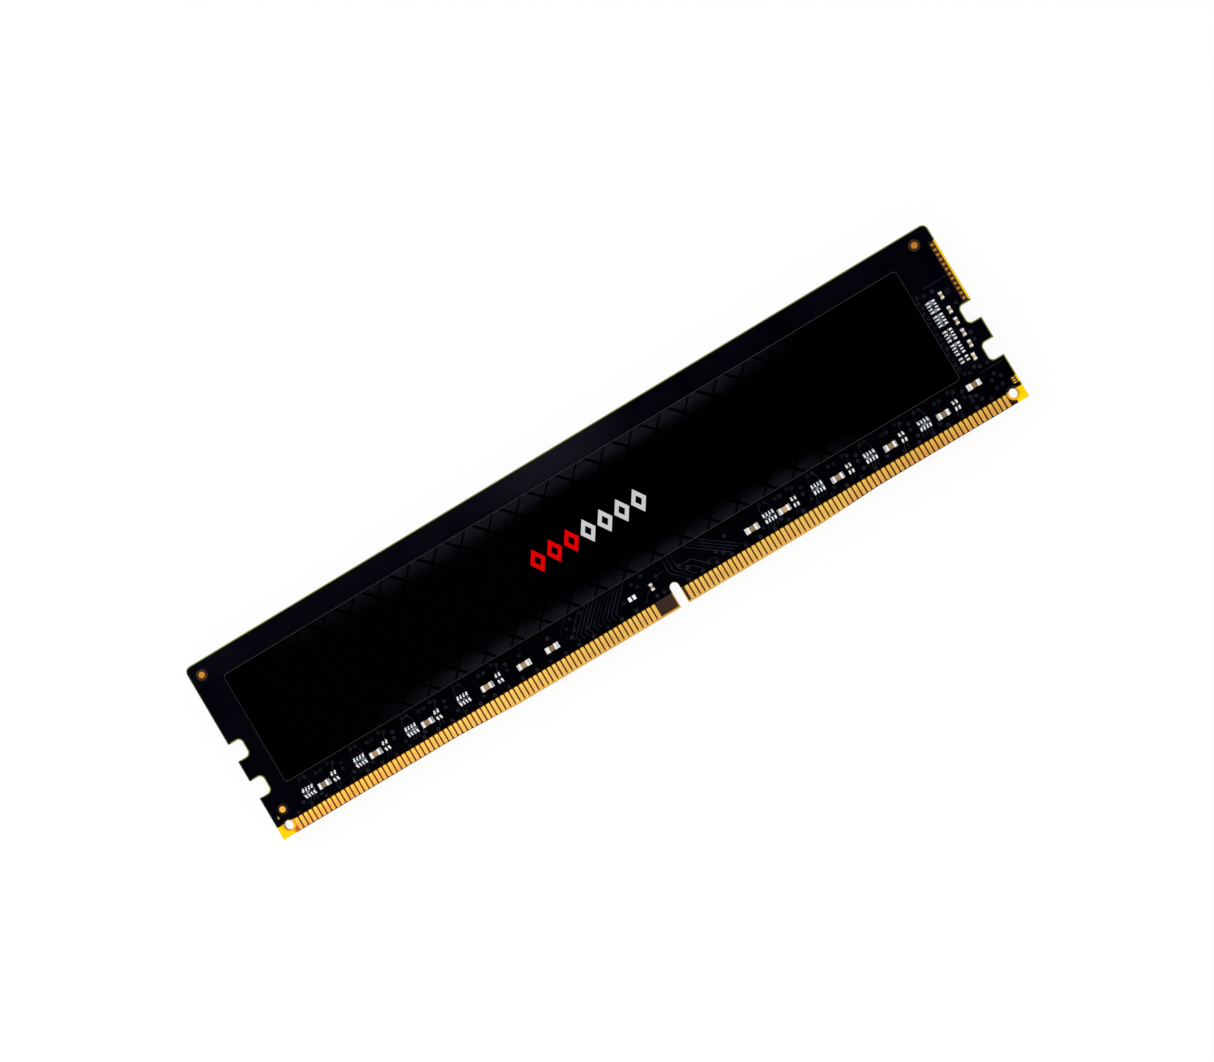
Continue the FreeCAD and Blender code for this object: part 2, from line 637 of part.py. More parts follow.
plate = sheet(panel_face(0), Z_PANEL, Z_FILM)
rim = [edge for edge in plate.Edges if edge.BoundBox.ZMin > Z_TOP + Z_FILM - 1e-3]
save_both("adhesive_sheet", [sheet(panel_face(ADHESIVE_INSET), Z_CASE, Z_PANEL)])
save_both("spreader_plate", [plate.makeChamfer(PANEL_BEVEL, rim)])

emblem = []
for i in range(EMBLEM_COUNT):
    x = EMBLEM_AT[0] + (i - (EMBLEM_COUNT - 1) / 2) * EMBLEM_PITCH
    emblem.append(lozenge(x, EMBLEM_AT[1], 0).cut(lozenge(x, EMBLEM_AT[1], EMBLEM_LINE)).Faces[0])
film_face = panel_face(FILM_INSET).cut(emblem)
save_both("printed_film", sheets(film_face.Faces, Z_FILM, Z_TOP))
save_both("emblem_print", sheets(emblem, Z_FILM, Z_TOP))
print("thickness", 2 * Z_TOP)
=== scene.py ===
# %% [markdown]
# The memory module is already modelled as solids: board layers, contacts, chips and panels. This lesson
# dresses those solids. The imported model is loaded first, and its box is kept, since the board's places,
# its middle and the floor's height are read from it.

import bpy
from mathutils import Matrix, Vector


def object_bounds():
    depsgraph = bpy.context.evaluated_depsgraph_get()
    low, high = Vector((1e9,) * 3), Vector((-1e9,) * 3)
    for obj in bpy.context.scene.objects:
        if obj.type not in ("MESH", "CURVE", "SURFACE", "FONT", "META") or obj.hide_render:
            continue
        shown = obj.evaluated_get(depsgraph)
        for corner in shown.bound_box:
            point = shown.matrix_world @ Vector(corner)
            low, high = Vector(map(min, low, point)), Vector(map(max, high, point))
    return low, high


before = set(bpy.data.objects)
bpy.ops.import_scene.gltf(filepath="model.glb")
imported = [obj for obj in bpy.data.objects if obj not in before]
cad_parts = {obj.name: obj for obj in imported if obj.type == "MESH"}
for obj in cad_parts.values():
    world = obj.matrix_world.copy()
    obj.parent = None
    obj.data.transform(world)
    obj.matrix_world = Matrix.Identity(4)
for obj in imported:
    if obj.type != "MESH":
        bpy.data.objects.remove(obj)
cad_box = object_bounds()
print("nodes:", len(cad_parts))

import math

import bmesh
import bpy
from mathutils import Euler

MM = 0.001

# %% [markdown]
# Places on the board are easiest to think of from its left end and its lowest edge, in millimetres. The
# model's own origin is under the middle of the part, so two small helpers turn one into the other. The
# board's length and height come from the box of the solids.

# %% Board places
BOARD_L = (cad_box[1][0] - cad_box[0][0]) / MM
BOARD_H = (cad_box[1][1] - cad_box[0][1]) / MM


def bx(x):
    """A distance from the left end, in the model's metres."""
    return (x - BOARD_L / 2) * MM


def by(y):
    """A height above the lowest edge, in the model's metres."""
    return (y - BOARD_H / 2) * MM


print("board", round(BOARD_L, 3), "x", round(BOARD_H, 3), "mm")

# %% [markdown]
# Patterns are sums, products and comparisons of coordinates. Writing them as node graphs by hand is slow to
# read, so one small class wraps a socket and lets Python's own operators add the Math nodes. Anything that
# is not arithmetic comes from one method that makes a node, sets it and fills its sockets. A comparison
# gives 1 or 0, so a product of two is where both hold, and the higher of two is where either does.


# %% Shader arithmetic
class Wire:
    """A socket that Python's operators work on."""

    def __init__(self, sheet, socket):
        self.sheet = sheet
        self.socket = socket

    def math(self, operation, other=None):
        values = [self] if other is None else [self, other]
        return self.sheet.node("ShaderNodeMath", {"operation": operation}, values)

    def __add__(self, other):
        return self.math("ADD", other)

    def __radd__(self, other):
        return self.math("ADD", other)

    def __sub__(self, other):
        return self.math("SUBTRACT", other)

    def __rsub__(self, other):
        return self.sheet.node("ShaderNodeMath", {"operation": "SUBTRACT"}, [other, self])

    def __mul__(self, other):
        return self.math("MULTIPLY", other)

    def __rmul__(self, other):
        return self.math("MULTIPLY", other)

    def __truediv__(self, other):
        return self.math("DIVIDE", other)

    def __gt__(self, other):
        return self.math("GREATER_THAN", other)

    def __lt__(self, other):
        return self.math("LESS_THAN", other)

    def __pow__(self, other):
        return self.math("POWER", other)

    def __abs__(self):
        return self.math("ABSOLUTE")

    def high(self, other):
        return self.math("MAXIMUM", other)

    def part(self):
        """The fraction left after the whole number is taken off."""
        return self.math("FRACT")

    def soft(self, start, end):
        """0 before start, 1 after end, and a smooth step between."""
        return self.sheet.node("ShaderNodeMapRange", {"interpolation_type": "SMOOTHSTEP"},
                               [self, start, end, 0.0, 1.0])

    def rise(self, start, end):
        """A smooth step between two places along the board."""
        return self.soft(bx(start), bx(end))

    def fall(self, start, end):
        """The same step the other way up."""
        return 1 - self.rise(start, end)


# %% [markdown]
# Materials and the room's light are both sheets of nodes. The class below adds nodes to such a sheet, mixes
# colours, and makes coordinates and noise.


# %% Sheets of nodes
class Sheet:
    """A node tree under construction."""

    def __init__(self, tree):
        self.tree = tree

    def node(self, kind, settings, values, output=0):
        made = self.tree.nodes.new(kind)
        for name, value in settings.items():
            setattr(made, name, value)
        pairs = values.items() if isinstance(values, dict) else enumerate(values)
        for key, value in pairs:
            self.feed(made.inputs[key], value)
        return Wire(self, made.outputs[output])

    def feed(self, socket, value):
        if isinstance(value, Wire):
            self.tree.links.new(value.socket, socket)
        else:
            socket.default_value = value

    def ray(self, kind):
        """1 where light paths of one kind arrive, such as those of the camera."""
        return self.node("ShaderNodeLightPath", {}, {}, "Is " + kind + " Ray")

    def place(self):
        """The object's own coordinates, as x, y, z and the whole vector."""
        vector = self.node("ShaderNodeTexCoord", {}, {}, "Object")
        split = self.tree.nodes.new("ShaderNodeSeparateXYZ")
        self.feed(split.inputs[0], vector)
        return [Wire(self, out) for out in split.outputs] + [vector]

    def noise(self, vector, scale, detail=2.0):
        values = {"Vector": vector, "Scale": scale, "Detail": detail}
        return self.node("ShaderNodeTexNoise", {}, values)

    def stretch(self, vector, x, y, z):
        return self.node("ShaderNodeMapping", {}, {"Vector": vector, "Scale": (x, y, z)})

    def mix(self, factor, first, second):
        """A colour between two; sockets 6 and 7 and output 2 are the colours of a Mix node."""
        return self.node("ShaderNodeMix", {"data_type": "RGBA"}, {0: factor, 6: first, 7: second}, 2)


print("sheets ready")

# %% [markdown]
# A finish is one material with one Principled shader. A number that is the same all over is set on the
# shader itself, and what varies is plugged into it.


# %% Finishes
class Finish(Sheet):
    """One material under construction."""

    def __init__(self, name, **constants):
        self.material = bpy.data.materials.new(name)
        self.material.use_nodes = True
        super().__init__(self.material.node_tree)
        self.shader = self.tree.nodes["Principled BSDF"]
        for socket, value in constants.items():
            self.shader.inputs[socket.replace("_", " ")].default_value = value

    def wear(self, socket, value):
        self.feed(self.shader.inputs[socket], value)

    def bump(self, height, distance, strength=1.0):
        values = {"Height": height, "Distance": distance, "Strength": strength}
        self.wear("Normal", self.node("ShaderNodeBump", {}, values))


def dye(red, green, blue):
    """A colour written in the 0 to 255 of a colour picker, as the shader's linear values."""
    def line(c):
        c = c / 255
        return c / 12.92 if c <= 0.04045 else ((c + 0.055) / 1.055) ** 2.4
    return (line(red), line(green), line(blue), 1.0)


print("finishes ready")

# %% [markdown]
# The board is woven glass in epoxy. Its cut edge is yellow green and shows the layers of cloth as fine lines
# along the edge. Noise that is squeezed along Z gives such lines without a picture of cloth.

# %% Cut edge of the laminate
GLASS_EDGE = dye(128, 140, 52)


def laminate_edge():
    finish = Finish("laminate edge", Roughness=0.55)
    x, y, z, vector = finish.place()
    layers = finish.noise(finish.stretch(vector, 60, 60, 9000), 1.0, 3.0)
    finish.wear("Base Color", finish.mix(layers, dye(96, 108, 36), GLASS_EDGE))
    finish.bump(layers, 0.00002, 0.4)
    return finish.material


laminate_edge_finish = laminate_edge()
print("laminate edge made")

# %% [markdown]
# On the flat faces the resin is brown where a copper plane lies under it and bright where there is none.
# That is a narrow rim round the board and its notches, the two lower corners, and the windows in the mask on
# the right-hand edge. Each helper below marks one of these places with 1 and all others with 0.

# %% Places without a plane
STRIP_TOP = 2.62
PLANE_INSET = 0.3
NOTCH_DEPTH = 2.45
NOTCH_HALF = 1.75
LOW_NOTCH_Y = 9.5
HIGH_NOTCH_Y = 16.1
LEFT_CORNER = 3.05
RIGHT_CORNER = 1.9
HOLE_X = 1.8
HOLE_Y = 2.1
HOLE_RING = 1.1
KEY_X = 72.25
KEY_RIM = 0.87
LONG_WINDOW_Y = 23.1
LONG_WINDOW_HALF = 5.3
SHORT_WINDOW_Y = 3.81
SHORT_WINDOW_HALF = 0.6


def level_with(y, middle, half):
    """1 within a half height of a place above the lowest edge."""
    return abs(y - by(middle)) < half * MM


def around(x, y, centre_x, centre_y, radius):
    """1 inside a circle on the board."""
    aside = x - bx(centre_x)
    above = y - by(centre_y)
    return (aside * aside + above * above) < (radius * MM) ** 2


def outer_rim(x, y):
    """1 along the board's edge and round the latch notches."""
    edge = (abs(x) > bx(BOARD_L - PLANE_INSET)).high(abs(y) > by(BOARD_H - PLANE_INSET))
    notches = level_with(y, LOW_NOTCH_Y, NOTCH_HALF).high(level_with(y, HIGH_NOTCH_Y, NOTCH_HALF))
    return edge.high((abs(x) > bx(BOARD_L - NOTCH_DEPTH)) * notches)


def mask_windows(x, y):
    """1 on the outer strip of the long window and of the short one under it."""
    long_window = level_with(y, LONG_WINDOW_Y, LONG_WINDOW_HALF)
    short_window = level_with(y, SHORT_WINDOW_Y, SHORT_WINDOW_HALF)
    return (x > bx(BOARD_L - PLANE_INSET)) * long_window.high(short_window)


def lower_corners(x, y):
    """1 in the two corners beside the contacts."""
    return (x < bx(LEFT_CORNER)).high(x > bx(BOARD_L - RIGHT_CORNER)) * (y < by(STRIP_TOP))


def hole_rings(x, y):
    """1 in a ring round each corner hole."""
    left = around(x, y, HOLE_X, HOLE_Y, HOLE_RING)
    right = around(x, y, BOARD_L - HOLE_X, HOLE_Y, HOLE_RING)
    return left.high(right) * (y < by(STRIP_TOP))


def contact_rims(x, y):
    """1 along the key notch and along the lowest edge."""
    key = (abs(x - bx(KEY_X)) < KEY_RIM * MM) * (y < by(STRIP_TOP))
    return key.high(y < by(PLANE_INSET))


print("places marked")

# %% [markdown]
# Two helpers colour the laminate. Over the plane it is brown cloth, with painted shade where small parts
# stand, and between the contacts painted warm light reflected from their gold, which fades out towards the
# right-hand end. The corners are yellow, and the left one turns amber and copper red where it meets the first
# contact.

# %% Colours of the laminate
GLASS_BRIGHT = dye(255, 214, 0)
GLASS_AMBER = dye(250, 184, 12)
PARTS_TOP = 8
BARE_LEFT = 68.3
BARE_RIGHT = 73.5


def brown_cloth(finish, x, y, vector, weave):
    """The laminate over a plane, with painted shade among the small parts and painted gold light between the
    contacts.
    """
    cloth = finish.noise(vector, 900, 3.0)
    brown = finish.mix(cloth, dye(56, 36, 32), dye(76, 52, 42))
    brown = finish.mix(weave * 0.35, brown, dye(36, 24, 22))
    # Painted shade: the cloth is darker where the small parts stand below the panel.
    painted_shade_by_parts = (y < by(PARTS_TOP)) * (y > by(STRIP_TOP))
    brown = finish.mix(painted_shade_by_parts * 0.55, brown, dye(14, 8, 8))
    # Painted warm light from the gold contacts, fading towards the right-hand end.
    among_contacts = (y < by(STRIP_TOP)) * (x < bx(BARE_LEFT)).high(x > bx(BARE_RIGHT))
    painted_gold_light = finish.mix(x.rise(20, 50), dye(112, 45, 0), dye(78, 28, 0))
    painted_gold_light = finish.mix(x.rise(118, 128), painted_gold_light, dye(48, 22, 8))
    return finish.mix(among_contacts, brown, painted_gold_light)


def corner_yellow(finish, x, y):
    """Yellow, which turns amber and low down copper red towards the first contact."""
    left_half = x < bx(BOARD_L / 2)
    low = 1 - y.soft(by(1.1), by(1.7))
    yellow = finish.mix(x.rise(2.1, 2.9) * left_half, GLASS_BRIGHT, dye(224, 150, 36))
    return finish.mix(x.rise(1.7, 2.8) * left_half * low, yellow, dye(196, 88, 28))


print("laminate colours ready")

# %% [markdown]
# The face of the laminate puts these together. The weave is the sum of two triangle waves, one along each
# axis, so that the crossings of the threads stand out, as in real cloth. The rims of the key notch and of
# the lowest edge are golden from the contacts beside them. Light passes through the bare corners, so they
# also glow faintly, which an emission colour that is black elsewhere gives.

# %% Laminate face
WEAVE_PITCH = 0.8
GLASS_GOLD = dye(226, 170, 54)


def laminate_face():
    finish = Finish("laminate face", Roughness=0.45, Specular_IOR_Level=0.05, Emission_Strength=0.18)
    x, y, z, vector = finish.place()
    pitch = WEAVE_PITCH * MM
    weave = abs((x / pitch).part() - 0.5) + abs((y / pitch).part() - 0.5)
    corner = lower_corners(x, y)
    ring = hole_rings(x, y)
    yellow = corner_yellow(finish, x, y)
    rim = finish.mix(x < bx(0.5), GLASS_EDGE, dye(64, 68, 34))
    rim = finish.mix(corner.high(mask_windows(x, y)), rim, yellow)
    skin = finish.mix(outer_rim(x, y).high(corner), brown_cloth(finish, x, y, vector, weave), rim)
    skin = finish.mix(contact_rims(x, y), skin, GLASS_GOLD)
    finish.wear("Base Color", finish.mix(ring, skin, GLASS_AMBER))
    shining = finish.mix(ring, yellow, GLASS_AMBER)
    finish.wear("Emission Color", finish.mix(corner, dye(0, 0, 0), shining))
    finish.bump(weave, 0.00001, 0.3)
    return finish.material


laminate_face_finish = laminate_face()
print("laminate face made")

# %% [markdown]
# The solder mask is a thin coat of near-black lacquer with a blue tint. It is smooth but not a mirror: tiny
# waves in the coat break up what it reflects, and its colour drifts a little from patch to patch. Where a
# copper track or a via pad lies under the coat, the lacquer looks a little lighter, so those pieces get the
# same lacquer over a brighter ground. A via reaches through the board, and only its two pads are lacquered.

# %% Solder mask
MIDDLE_Z = (cad_box[1][2] + cad_box[0][2]) / 2 / MM
PAD_Z = 0.71
BAND_LOW = 27.5


def lacquer(name, dark, light, gloss, patches, pads_only=False, shaded=False):
    finish = Finish(name, Specular_IOR_Level=gloss)
    x, y, z, vector = finish.place()
    cloud = finish.noise(vector, patches, 4.0)
    grain = finish.noise(vector, 4000, 2.0)
    colour = finish.mix(cloud.soft(0.3, 0.7), dark, light)
    if shaded:
        colour = painted_shade_and_sheen(finish, x, y, colour)
    if pads_only:
        on_pad = abs(z - MIDDLE_Z * MM) > PAD_Z * MM
        colour = finish.mix(on_pad, dye(3, 3, 8), colour)
    finish.wear("Base Color", colour)
    finish.wear("Roughness", 0.28 + 0.12 * grain)
    finish.bump(grain, 0.000008, 0.25)
    return finish.material


def painted_shade_and_sheen(finish, x, y, colour):
    """Painted shade among the small parts below the panel, and a painted grey sheen along the middle of the
    band over the panel.
    """
    # Painted shade: the coat is darker among the small parts below the panel.
    painted_shade_among_parts = (y < by(PARTS_TOP)) * 0.75 * x.rise(5, 13)
    colour = finish.mix(painted_shade_among_parts, colour, dye(0, 0, 3))
    # Painted sheen: a grey highlight along the band just above the panel.
    sheen = (0.15 + 0.85 * x.rise(48, 64)) * x.fall(68, 82)
    return finish.mix((y > by(BAND_LOW)) * sheen, colour, dye(22, 22, 31))


mask_finish = lacquer("black solder mask", dye(0, 1, 7), dye(5, 6, 15), 0.008, 120, shaded=True)
track_finish = lacquer("lacquered copper", dye(12, 13, 24), dye(36, 37, 50), 0.03, 450)
via_finish = lacquer("lacquered via", dye(14, 17, 28), dye(46, 50, 62), 0.03, 700, pads_only=True)
print("lacquers made")

# %% [markdown]
# The contacts are copper plated with nickel and hard gold. Gold is a metal, so its colour is its reflection.
# Fine scratches run across the contact strip from the machine that plated it. A contact is yellower at its
# upper end, and the round marks at the top of the board are a deeper gold than the one at the bottom. Each
# piece also has a list of shares and the tints they bring: along the strip the contacts get a painted
# highlight in the middle and painted shade to the right, and the little mark at the left end is dull.

# %% Gold
def gold(name, bright, deep, upper, start, end, wear):
    finish = Finish(name, Metallic=1.0)
    x, y, z, vector = finish.place()
    streak = finish.noise(finish.stretch(vector, 3500, 300, 300), 1.0, 3.0)
    blotch = finish.noise(vector, 500, 3.0)
    tone = (0.45 * streak + 0.55 * blotch).soft(0.3, 0.7)
    plain = finish.mix(tone, bright, deep)
    colour = finish.mix(y.soft(by(start), by(end)), plain, upper)
    # The tints include painted light: on the contacts a highlight in the middle of the strip and shade to the
    # right.
    for share, tint in wear(x):
        colour = finish.mix(share, colour, tint)
    finish.wear("Base Color", colour)
    finish.wear("Roughness", 0.22 + 0.16 * blotch)
    finish.bump(streak, 0.000004, 0.3)
    return finish.material


def contact_highlight_and_shade(x):
    """A painted highlight, paler in the middle of the strip, and painted shade, darker to the right."""
    pale = x.rise(18, 36) * x.fall(96, 116) * 0.25
    dark = x.rise(40, 62) * 0.13 + x.rise(96, 116) * 0.1
    return ((pale, dye(238, 214, 124)), (dark, dye(104, 76, 50)))


def mark_wear(x):
    """The little mark at the left end is dull."""
    dull = (x < bx(1.5)) * 0.7
    return ((dull, dye(104, 78, 52)),)


contact_finish = gold("contact gold", dye(248, 194, 92), dye(234, 166, 78),
                      dye(254, 206, 84), 1.2, 2.6, contact_highlight_and_shade)
mark_finish = gold("mark gold", dye(250, 204, 84), dye(226, 168, 62),
                   dye(190, 124, 44), 6, 14, mark_wear)
print("gold made")

# %% [markdown]
# Tin and solder are bright grey metals with fine spots and ripples. Plated chip ends are satin, and solder
# sets with a slightly smoother skin, so only the shade and the roughness differ. Neither is a full mirror,
# since a thin grey skin scatters part of the light.

# %% Tin and solder
def bright_metal(name, light, shade, rough):
    finish = Finish(name, Metallic=0.4)
    x, y, z, vector = finish.place()
    spots = finish.noise(vector, 1500, 3.0)
    finish.wear("Base Color", finish.mix(spots.soft(0.35, 0.7), light, shade))
    finish.wear("Roughness", rough + 0.15 * spots)
    finish.bump(spots, 0.00001, 0.5)
    return finish.material


tin_finish = bright_metal("tin plating", dye(255, 255, 254), dye(240, 241, 242), 0.30)
solder_finish = bright_metal("solder", dye(255, 255, 255), dye(238, 240, 242), 0.25)
print("bright metals made")

# %% [markdown]
# A capacitor's body is a fired ceramic with fine dark grains. Its tan differs from one reel of chips to the
# next, so some places along the row are paler and some darker, and those at the right-hand end have shades of
# their own. The places are the chips' middles, and half a chip's length on either side belongs to them.

# %% Capacitor ceramic
CHIP_HALF = 0.9
PALE_CAPACITORS = (92.75,)
DARK_CAPACITORS = (10.0, 51.3, 120.83)
END_CHIPS_FROM = 126
SMALL_COLUMN_FROM = 128.2
LOWEST_CHIP_TOP = 10.8


def near_any(x, places):
    """1 within a chip's half length of any of the places along the board."""
    near = abs(x - bx(places[0])) < CHIP_HALF * MM
    for place in places[1:]:
        near = near.high(abs(x - bx(place)) < CHIP_HALF * MM)
    return near


def ceramic():
    finish = Finish("capacitor ceramic", Roughness=0.42)
    x, y, z, vector = finish.place()
    grain = finish.noise(vector, 6000, 3.0)
    lot = finish.noise(vector, 60, 1.0).soft(0.4, 0.62)
    in_column = x > bx(SMALL_COLUMN_FROM)
    body = finish.mix(lot, dye(188, 154, 112), dye(158, 130, 94))
    body = finish.mix(near_any(x, PALE_CAPACITORS), body, dye(222, 176, 136))
    body = finish.mix(near_any(x, DARK_CAPACITORS), body, dye(144, 122, 90))
    body = finish.mix(x > bx(END_CHIPS_FROM), body, dye(168, 110, 72))
    body = finish.mix(in_column, body, dye(196, 162, 104))
    body = finish.mix(in_column * (y < by(LOWEST_CHIP_TOP)), body, dye(246, 218, 122))
    finish.wear("Base Color", finish.mix(grain.soft(0.45, 0.75), body, dye(116, 88, 66)))
    finish.bump(grain, 0.00001, 0.4)
    return finish.material


ceramic_finish = ceramic()
print("ceramic made")

# %% [markdown]
# A resistor array's body is white ceramic under a glossy black glaze, so from above it is black. On the
# arrays with four elements a patchy blue grey reflection is painted into the glaze along the middle. Most of
# these stand in the row under the panel, between the arrays with two elements, and the rest in a column at
# the right.

# %% Resistor glaze
PAIR_ARRAYS = (12.1, 21.45, 30.8, 41.9, 94.78, 104.5, 113.8, 123.2)
QUAD_ROW_Y = 5.0
QUAD_COLUMN_X = 127.82
QUAD_COLUMN_LOW = 10.9
SHEEN_HALF = 0.2


def glaze():
    finish = Finish("resistor glaze", Specular_IOR_Level=0.15)
    x, y, z, vector = finish.place()
    wave = finish.noise(vector, 2500, 2.0)
    patch = finish.noise(vector, 1600, 1.0)
    along_row = level_with(y, QUAD_ROW_Y, SHEEN_HALF) * (1 - near_any(x, PAIR_ARRAYS))
    along_column = (abs(x - bx(QUAD_COLUMN_X)) < SHEEN_HALF * MM) * (y > by(QUAD_COLUMN_LOW))
    # Painted reflection: a patchy blue grey sheen along the middle of the arrays with four elements.
    sheen = along_row.high(along_column) * patch.soft(0.42, 0.58)
    finish.wear("Base Color", finish.mix(sheen, dye(8, 10, 18), dye(136, 156, 172)))
    finish.wear("Roughness", 0.2 + 0.15 * wave)
    finish.bump(wave, 0.00001, 0.5)
    return finish.material


glaze_finish = glaze()
print("glaze made")

# %% [markdown]
# The panel's film is printed black with a lattice of thin darker lines. The lozenges between the lines are a
# little lighter along the long edges of the panel and fade to black in the middle and at both ends. The
# lattice is two families of slanting lines, so it needs only the sum and the difference of two coordinates.
# A whole number is added to both, so that neither falls below zero, and the lines stay where they are.

# %% Lattice film
LATTICE_X = 5.0
LATTICE_Y = 5.31
LATTICE_AT = (22.27, 9.3)
ABOVE_ZERO = 100
PANEL_LOW = 7.98
PANEL_HIGH = 27.24
TOP_GLOW_DEPTH = 5.2
LOW_GLOW_DEPTH = 3.9


def slant(count, start, end):
    """0 on the lines of one family, which lie at the whole numbers of a count, and 1 between them."""
    return abs((count + (ABOVE_ZERO + 0.5)).part() - 0.5).soft(start, end)


def edge_glow(x, y):
    """How light the lozenges are: most at the panel's two long edges."""
    from_top = 1 - (by(PANEL_HIGH) - y).soft(0, TOP_GLOW_DEPTH * MM)
    from_low = 1 - (y - by(PANEL_LOW)).soft(0, LOW_GLOW_DEPTH * MM)
    top_glow = 1.42 * from_top ** 3 * x.rise(8, 62) * x.fall(84, 112)
    low_glow = from_low ** 2 * x.rise(18, 40) * x.fall(94, 112)
    return top_glow.high(low_glow)


def lattice_film():
    finish = Finish("lattice film", Specular_IOR_Level=0.0)
    x, y, z, vector = finish.place()
    u = (x - bx(LATTICE_AT[0])) / (LATTICE_X * MM)
    v = (y - by(LATTICE_AT[1])) / (LATTICE_Y * MM)
    between_lines = slant(u - v, 0.018, 0.06) * slant(u + v, 0.035, 0.085)
    cloud = finish.noise(vector, 420, 4.0)
    fleck = finish.noise(vector, 4500, 2.0)
    haze = x.rise(7.5, 11.5) * x.fall(52, 66) * fleck.soft(0.35, 0.7)
    glow = between_lines * (edge_glow(x, y) * (0.35 + 1.3 * cloud) + 0.16 * haze)
    finish.wear("Base Color", finish.mix(glow, dye(0, 0, 1), dye(21, 23, 29)))
    finish.wear("Roughness", 0.42 + 0.12 * cloud)
    finish.bump(between_lines, 0.00001, 0.35)
    return finish.material


film_finish = lattice_film()
print("film made")

# %% [markdown]
# The emblem is a plain row of lozenge outlines in screen-printed ink: red at the left and pale grey at the
# right. One material serves both, with the colour changing between the third and the fourth lozenge.

# %% Emblem ink
EMBLEM_SPLIT = 63.9


def emblem_ink():
    finish = Finish("emblem ink", Roughness=0.5, Specular_IOR_Level=0.0)
    x, y, z, vector = finish.place()
    grain = finish.noise(vector, 5000, 2.0)
    red = finish.mix(grain, dye(244, 6, 6), dye(228, 2, 4))
    grey = finish.mix(grain, dye(224, 225, 227), dye(208, 209, 212))
    finish.wear("Base Color", finish.mix(x > bx(EMBLEM_SPLIT), red, grey))
    finish.bump(grain, 0.000005, 0.3)
    return finish.material


emblem_finish = emblem_ink()
print("emblem ink made")

# %% [markdown]
# The plate under the film is thin rolled aluminium, black on its face, with a bare bevel that catches the
# light as a fine grey line. Rolled metal has long straight streaks, which noise stretched along X gives.

# %% Spreader plate
def rolled_plate():
    finish = Finish("spreader plate", Metallic=0.6)
    x, y, z, vector = finish.place()
    streak = finish.noise(finish.stretch(vector, 40, 3000, 3000), 1.0, 3.0)
    finish.wear("Base Color", finish.mix(streak, dye(38, 39, 42), dye(66, 67, 72)))
    finish.wear("Roughness", 0.35 + 0.2 * streak)
    finish.bump(streak, 0.000006, 0.3)
    return finish.material


plate_finish = rolled_plate()
print("plate made")

# %% [markdown]
# The last finishes belong to what sits between the board and the panels: black moulding compound, green
# substrates, polished silicon, the copper planes and the grey adhesive. They show only from the sides.

# %% Inner finishes
def speckled(name, first, second, scale, rough, **constants):
    finish = Finish(name, **constants)
    x, y, z, vector = finish.place()
    grain = finish.noise(vector, scale, 3.0)
    finish.wear("Base Color", finish.mix(grain, first, second))
    finish.wear("Roughness", rough + 0.15 * grain)
    finish.bump(grain, 0.00001, 0.4)
    return finish.material


mould_finish = speckled("moulding compound", dye(26, 26, 28), dye(44, 44, 47), 5000, 0.55)
substrate_finish = speckled("package substrate", dye(30, 66, 34), dye(44, 88, 44), 2500, 0.4)
silicon_finish = speckled("silicon", dye(70, 72, 82), dye(96, 98, 110), 300, 0.08, Metallic=0.7)
copper_finish = speckled("copper plane", dye(184, 110, 70), dye(206, 132, 90), 800, 0.3, Metallic=1.0)
adhesive_finish = speckled("adhesive", dye(120, 122, 126), dye(150, 152, 156), 2000, 0.7)
print("inner finishes made")

# %% [markdown]
# Every solid now gets its finish. The names of the solids begin with what they are, so a short list from
# first words to finishes covers the front, the back and all the numbered pieces.

# %% Dress the solids
WARDROBE = {
    "core_laminate": laminate_edge_finish,
    "outer_laminate": laminate_face_finish,
    "ground_plane": copper_finish,
    "power_plane": copper_finish,
    "solder_mask": mask_finish,
    "left_contacts": contact_finish,
    "right_contacts": contact_finish,
    "copper_marks": mark_finish,
    "traces": track_finish,
    "plated_vias": via_finish,
    "resistor_bodies": glaze_finish,
    "resistor_terminals": tin_finish,
    "capacitor_bodies": ceramic_finish,
    "capacitor_ends": tin_finish,
    "solder_joints": solder_finish,
    "solder_balls": solder_finish,
    "config_chip_case": mould_finish,
    "config_chip_pads": tin_finish,
    "memory_case": mould_finish,
    "memory_substrates": substrate_finish,
    "memory_dies": silicon_finish,
    "adhesive_sheet": adhesive_finish,
    "spreader_plate": plate_finish,
    "printed_film": film_finish,
    "emblem_print": emblem_finish,
}

for name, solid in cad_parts.items():
    worn = [finish for start, finish in WARDROBE.items() if name.startswith(start)]
    for slot in solid.material_slots:
        slot.material = worn[0]
print("dressed", len(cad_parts), "solids")

# %% [markdown]
# The floor is a plain white sheet. To the camera it glows white, so that the background is clean, but part
# of it stays an ordinary white surface that still takes the module's soft shadow.

# %% Floor
FLOOR_HALF = 3.0
FLOOR_GAP = 0.00002
FLOOR_GLOW = 1.02
GLOW_SHARE = 0.9


def floor_paper():
    finish = Finish("floor paper", Roughness=0.9, Specular_IOR_Level=0.0)
    finish.wear("Base Color", (0.95, 0.95, 0.95, 1.0))
    seen = finish.ray("Camera").high(finish.ray("Glossy")).high(finish.ray("Transmission"))
    glow = finish.node("ShaderNodeEmission", {}, {"Color": (1, 1, 1, 1), "Strength": FLOOR_GLOW})
    paper = Wire(finish, finish.shader.outputs[0])
    blend = finish.node("ShaderNodeMixShader", {}, [seen * GLOW_SHARE, paper, glow])
    finish.feed(finish.tree.nodes["Material Output"].inputs["Surface"], blend)
    return finish.material


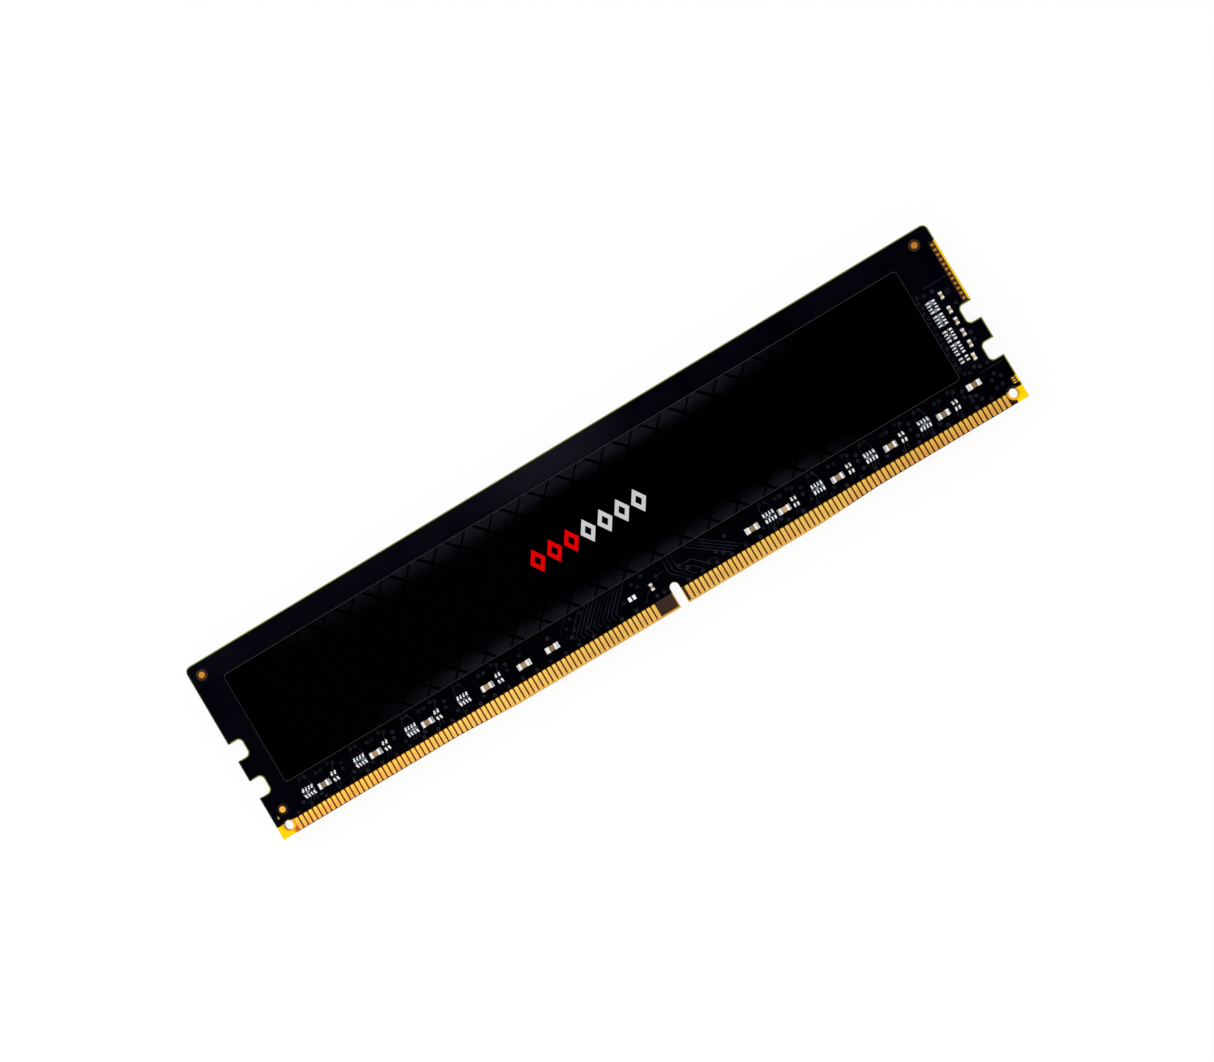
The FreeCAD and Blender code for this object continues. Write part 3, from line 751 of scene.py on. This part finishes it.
grid = bmesh.new()
bmesh.ops.create_grid(grid, x_segments=1, y_segments=1, size=FLOOR_HALF)
bmesh.ops.translate(grid, verts=grid.verts, vec=(0, 0, cad_box[0][2] - FLOOR_GAP))
floor_mesh = bpy.data.meshes.new("floor")
grid.to_mesh(floor_mesh)
grid.free()
floor = bpy.data.objects.new("floor", floor_mesh)
bpy.context.collection.objects.link(floor)
floor.data.materials.append(floor_paper())
print("floor laid at", cad_box[0][2])

# %% [markdown]
# The light is an even white room with one large soft lamp above and to the left, so that flat faces keep
# their written colours and small chips still get a lit side and a shaded side. The camera and glossy metal
# see the room as pure white, while what it sheds on plain surfaces is a little less.

# %% Room
ROOM_LEVEL = 0.7

world = bpy.data.worlds.new("studio")
world.use_nodes = True
bpy.context.scene.world = world
room = Sheet(world.node_tree)
background = room.tree.nodes["Background"]
background.inputs["Color"].default_value = (1, 1, 1, 1)
seen = room.ray("Camera").high(room.ray("Glossy"))
room.feed(background.inputs["Strength"], ROOM_LEVEL + (1 - ROOM_LEVEL) * seen)
print("room ready")

# %% [markdown]
# A square area lamp half a metre wide is large beside the module, so its shadows are soft. It is turned
# towards the board from its place above the upper left corner.

# %% Lamp
lamp_data = bpy.data.lights.new("soft lamp", "AREA")
lamp_data.shape = "SQUARE"
lamp_data.size = 0.5
lamp_data.energy = 1.3
lamp = bpy.data.objects.new("soft lamp", lamp_data)
lamp.location = (-0.35, 0.35, 0.55)
lamp.rotation_euler = Euler((math.radians(-35), math.radians(-32), 0))
bpy.context.collection.objects.link(lamp)
print("lamp ready")

# %% [markdown]
# The camera looks almost straight down on the front face and is rolled, so that the board climbs from the
# lower left to the upper right of the picture. A lens of about 60 mm keeps the two ends nearly equal.

# %% Camera
camera_data = bpy.data.cameras.new("camera")
camera_data.sensor_width = 36.0
camera_data.lens = 59.47
camera_data.clip_start = 0.01
camera = bpy.data.objects.new("camera", camera_data)
camera.location = (0.018503, -0.009931, 0.3105)
camera.rotation_euler = Euler((math.radians(-0.038), math.radians(3.751), math.radians(-30.896)))
bpy.context.collection.objects.link(camera)
bpy.context.scene.camera = camera
bpy.context.scene.view_settings.view_transform = "Standard"
print("camera set")
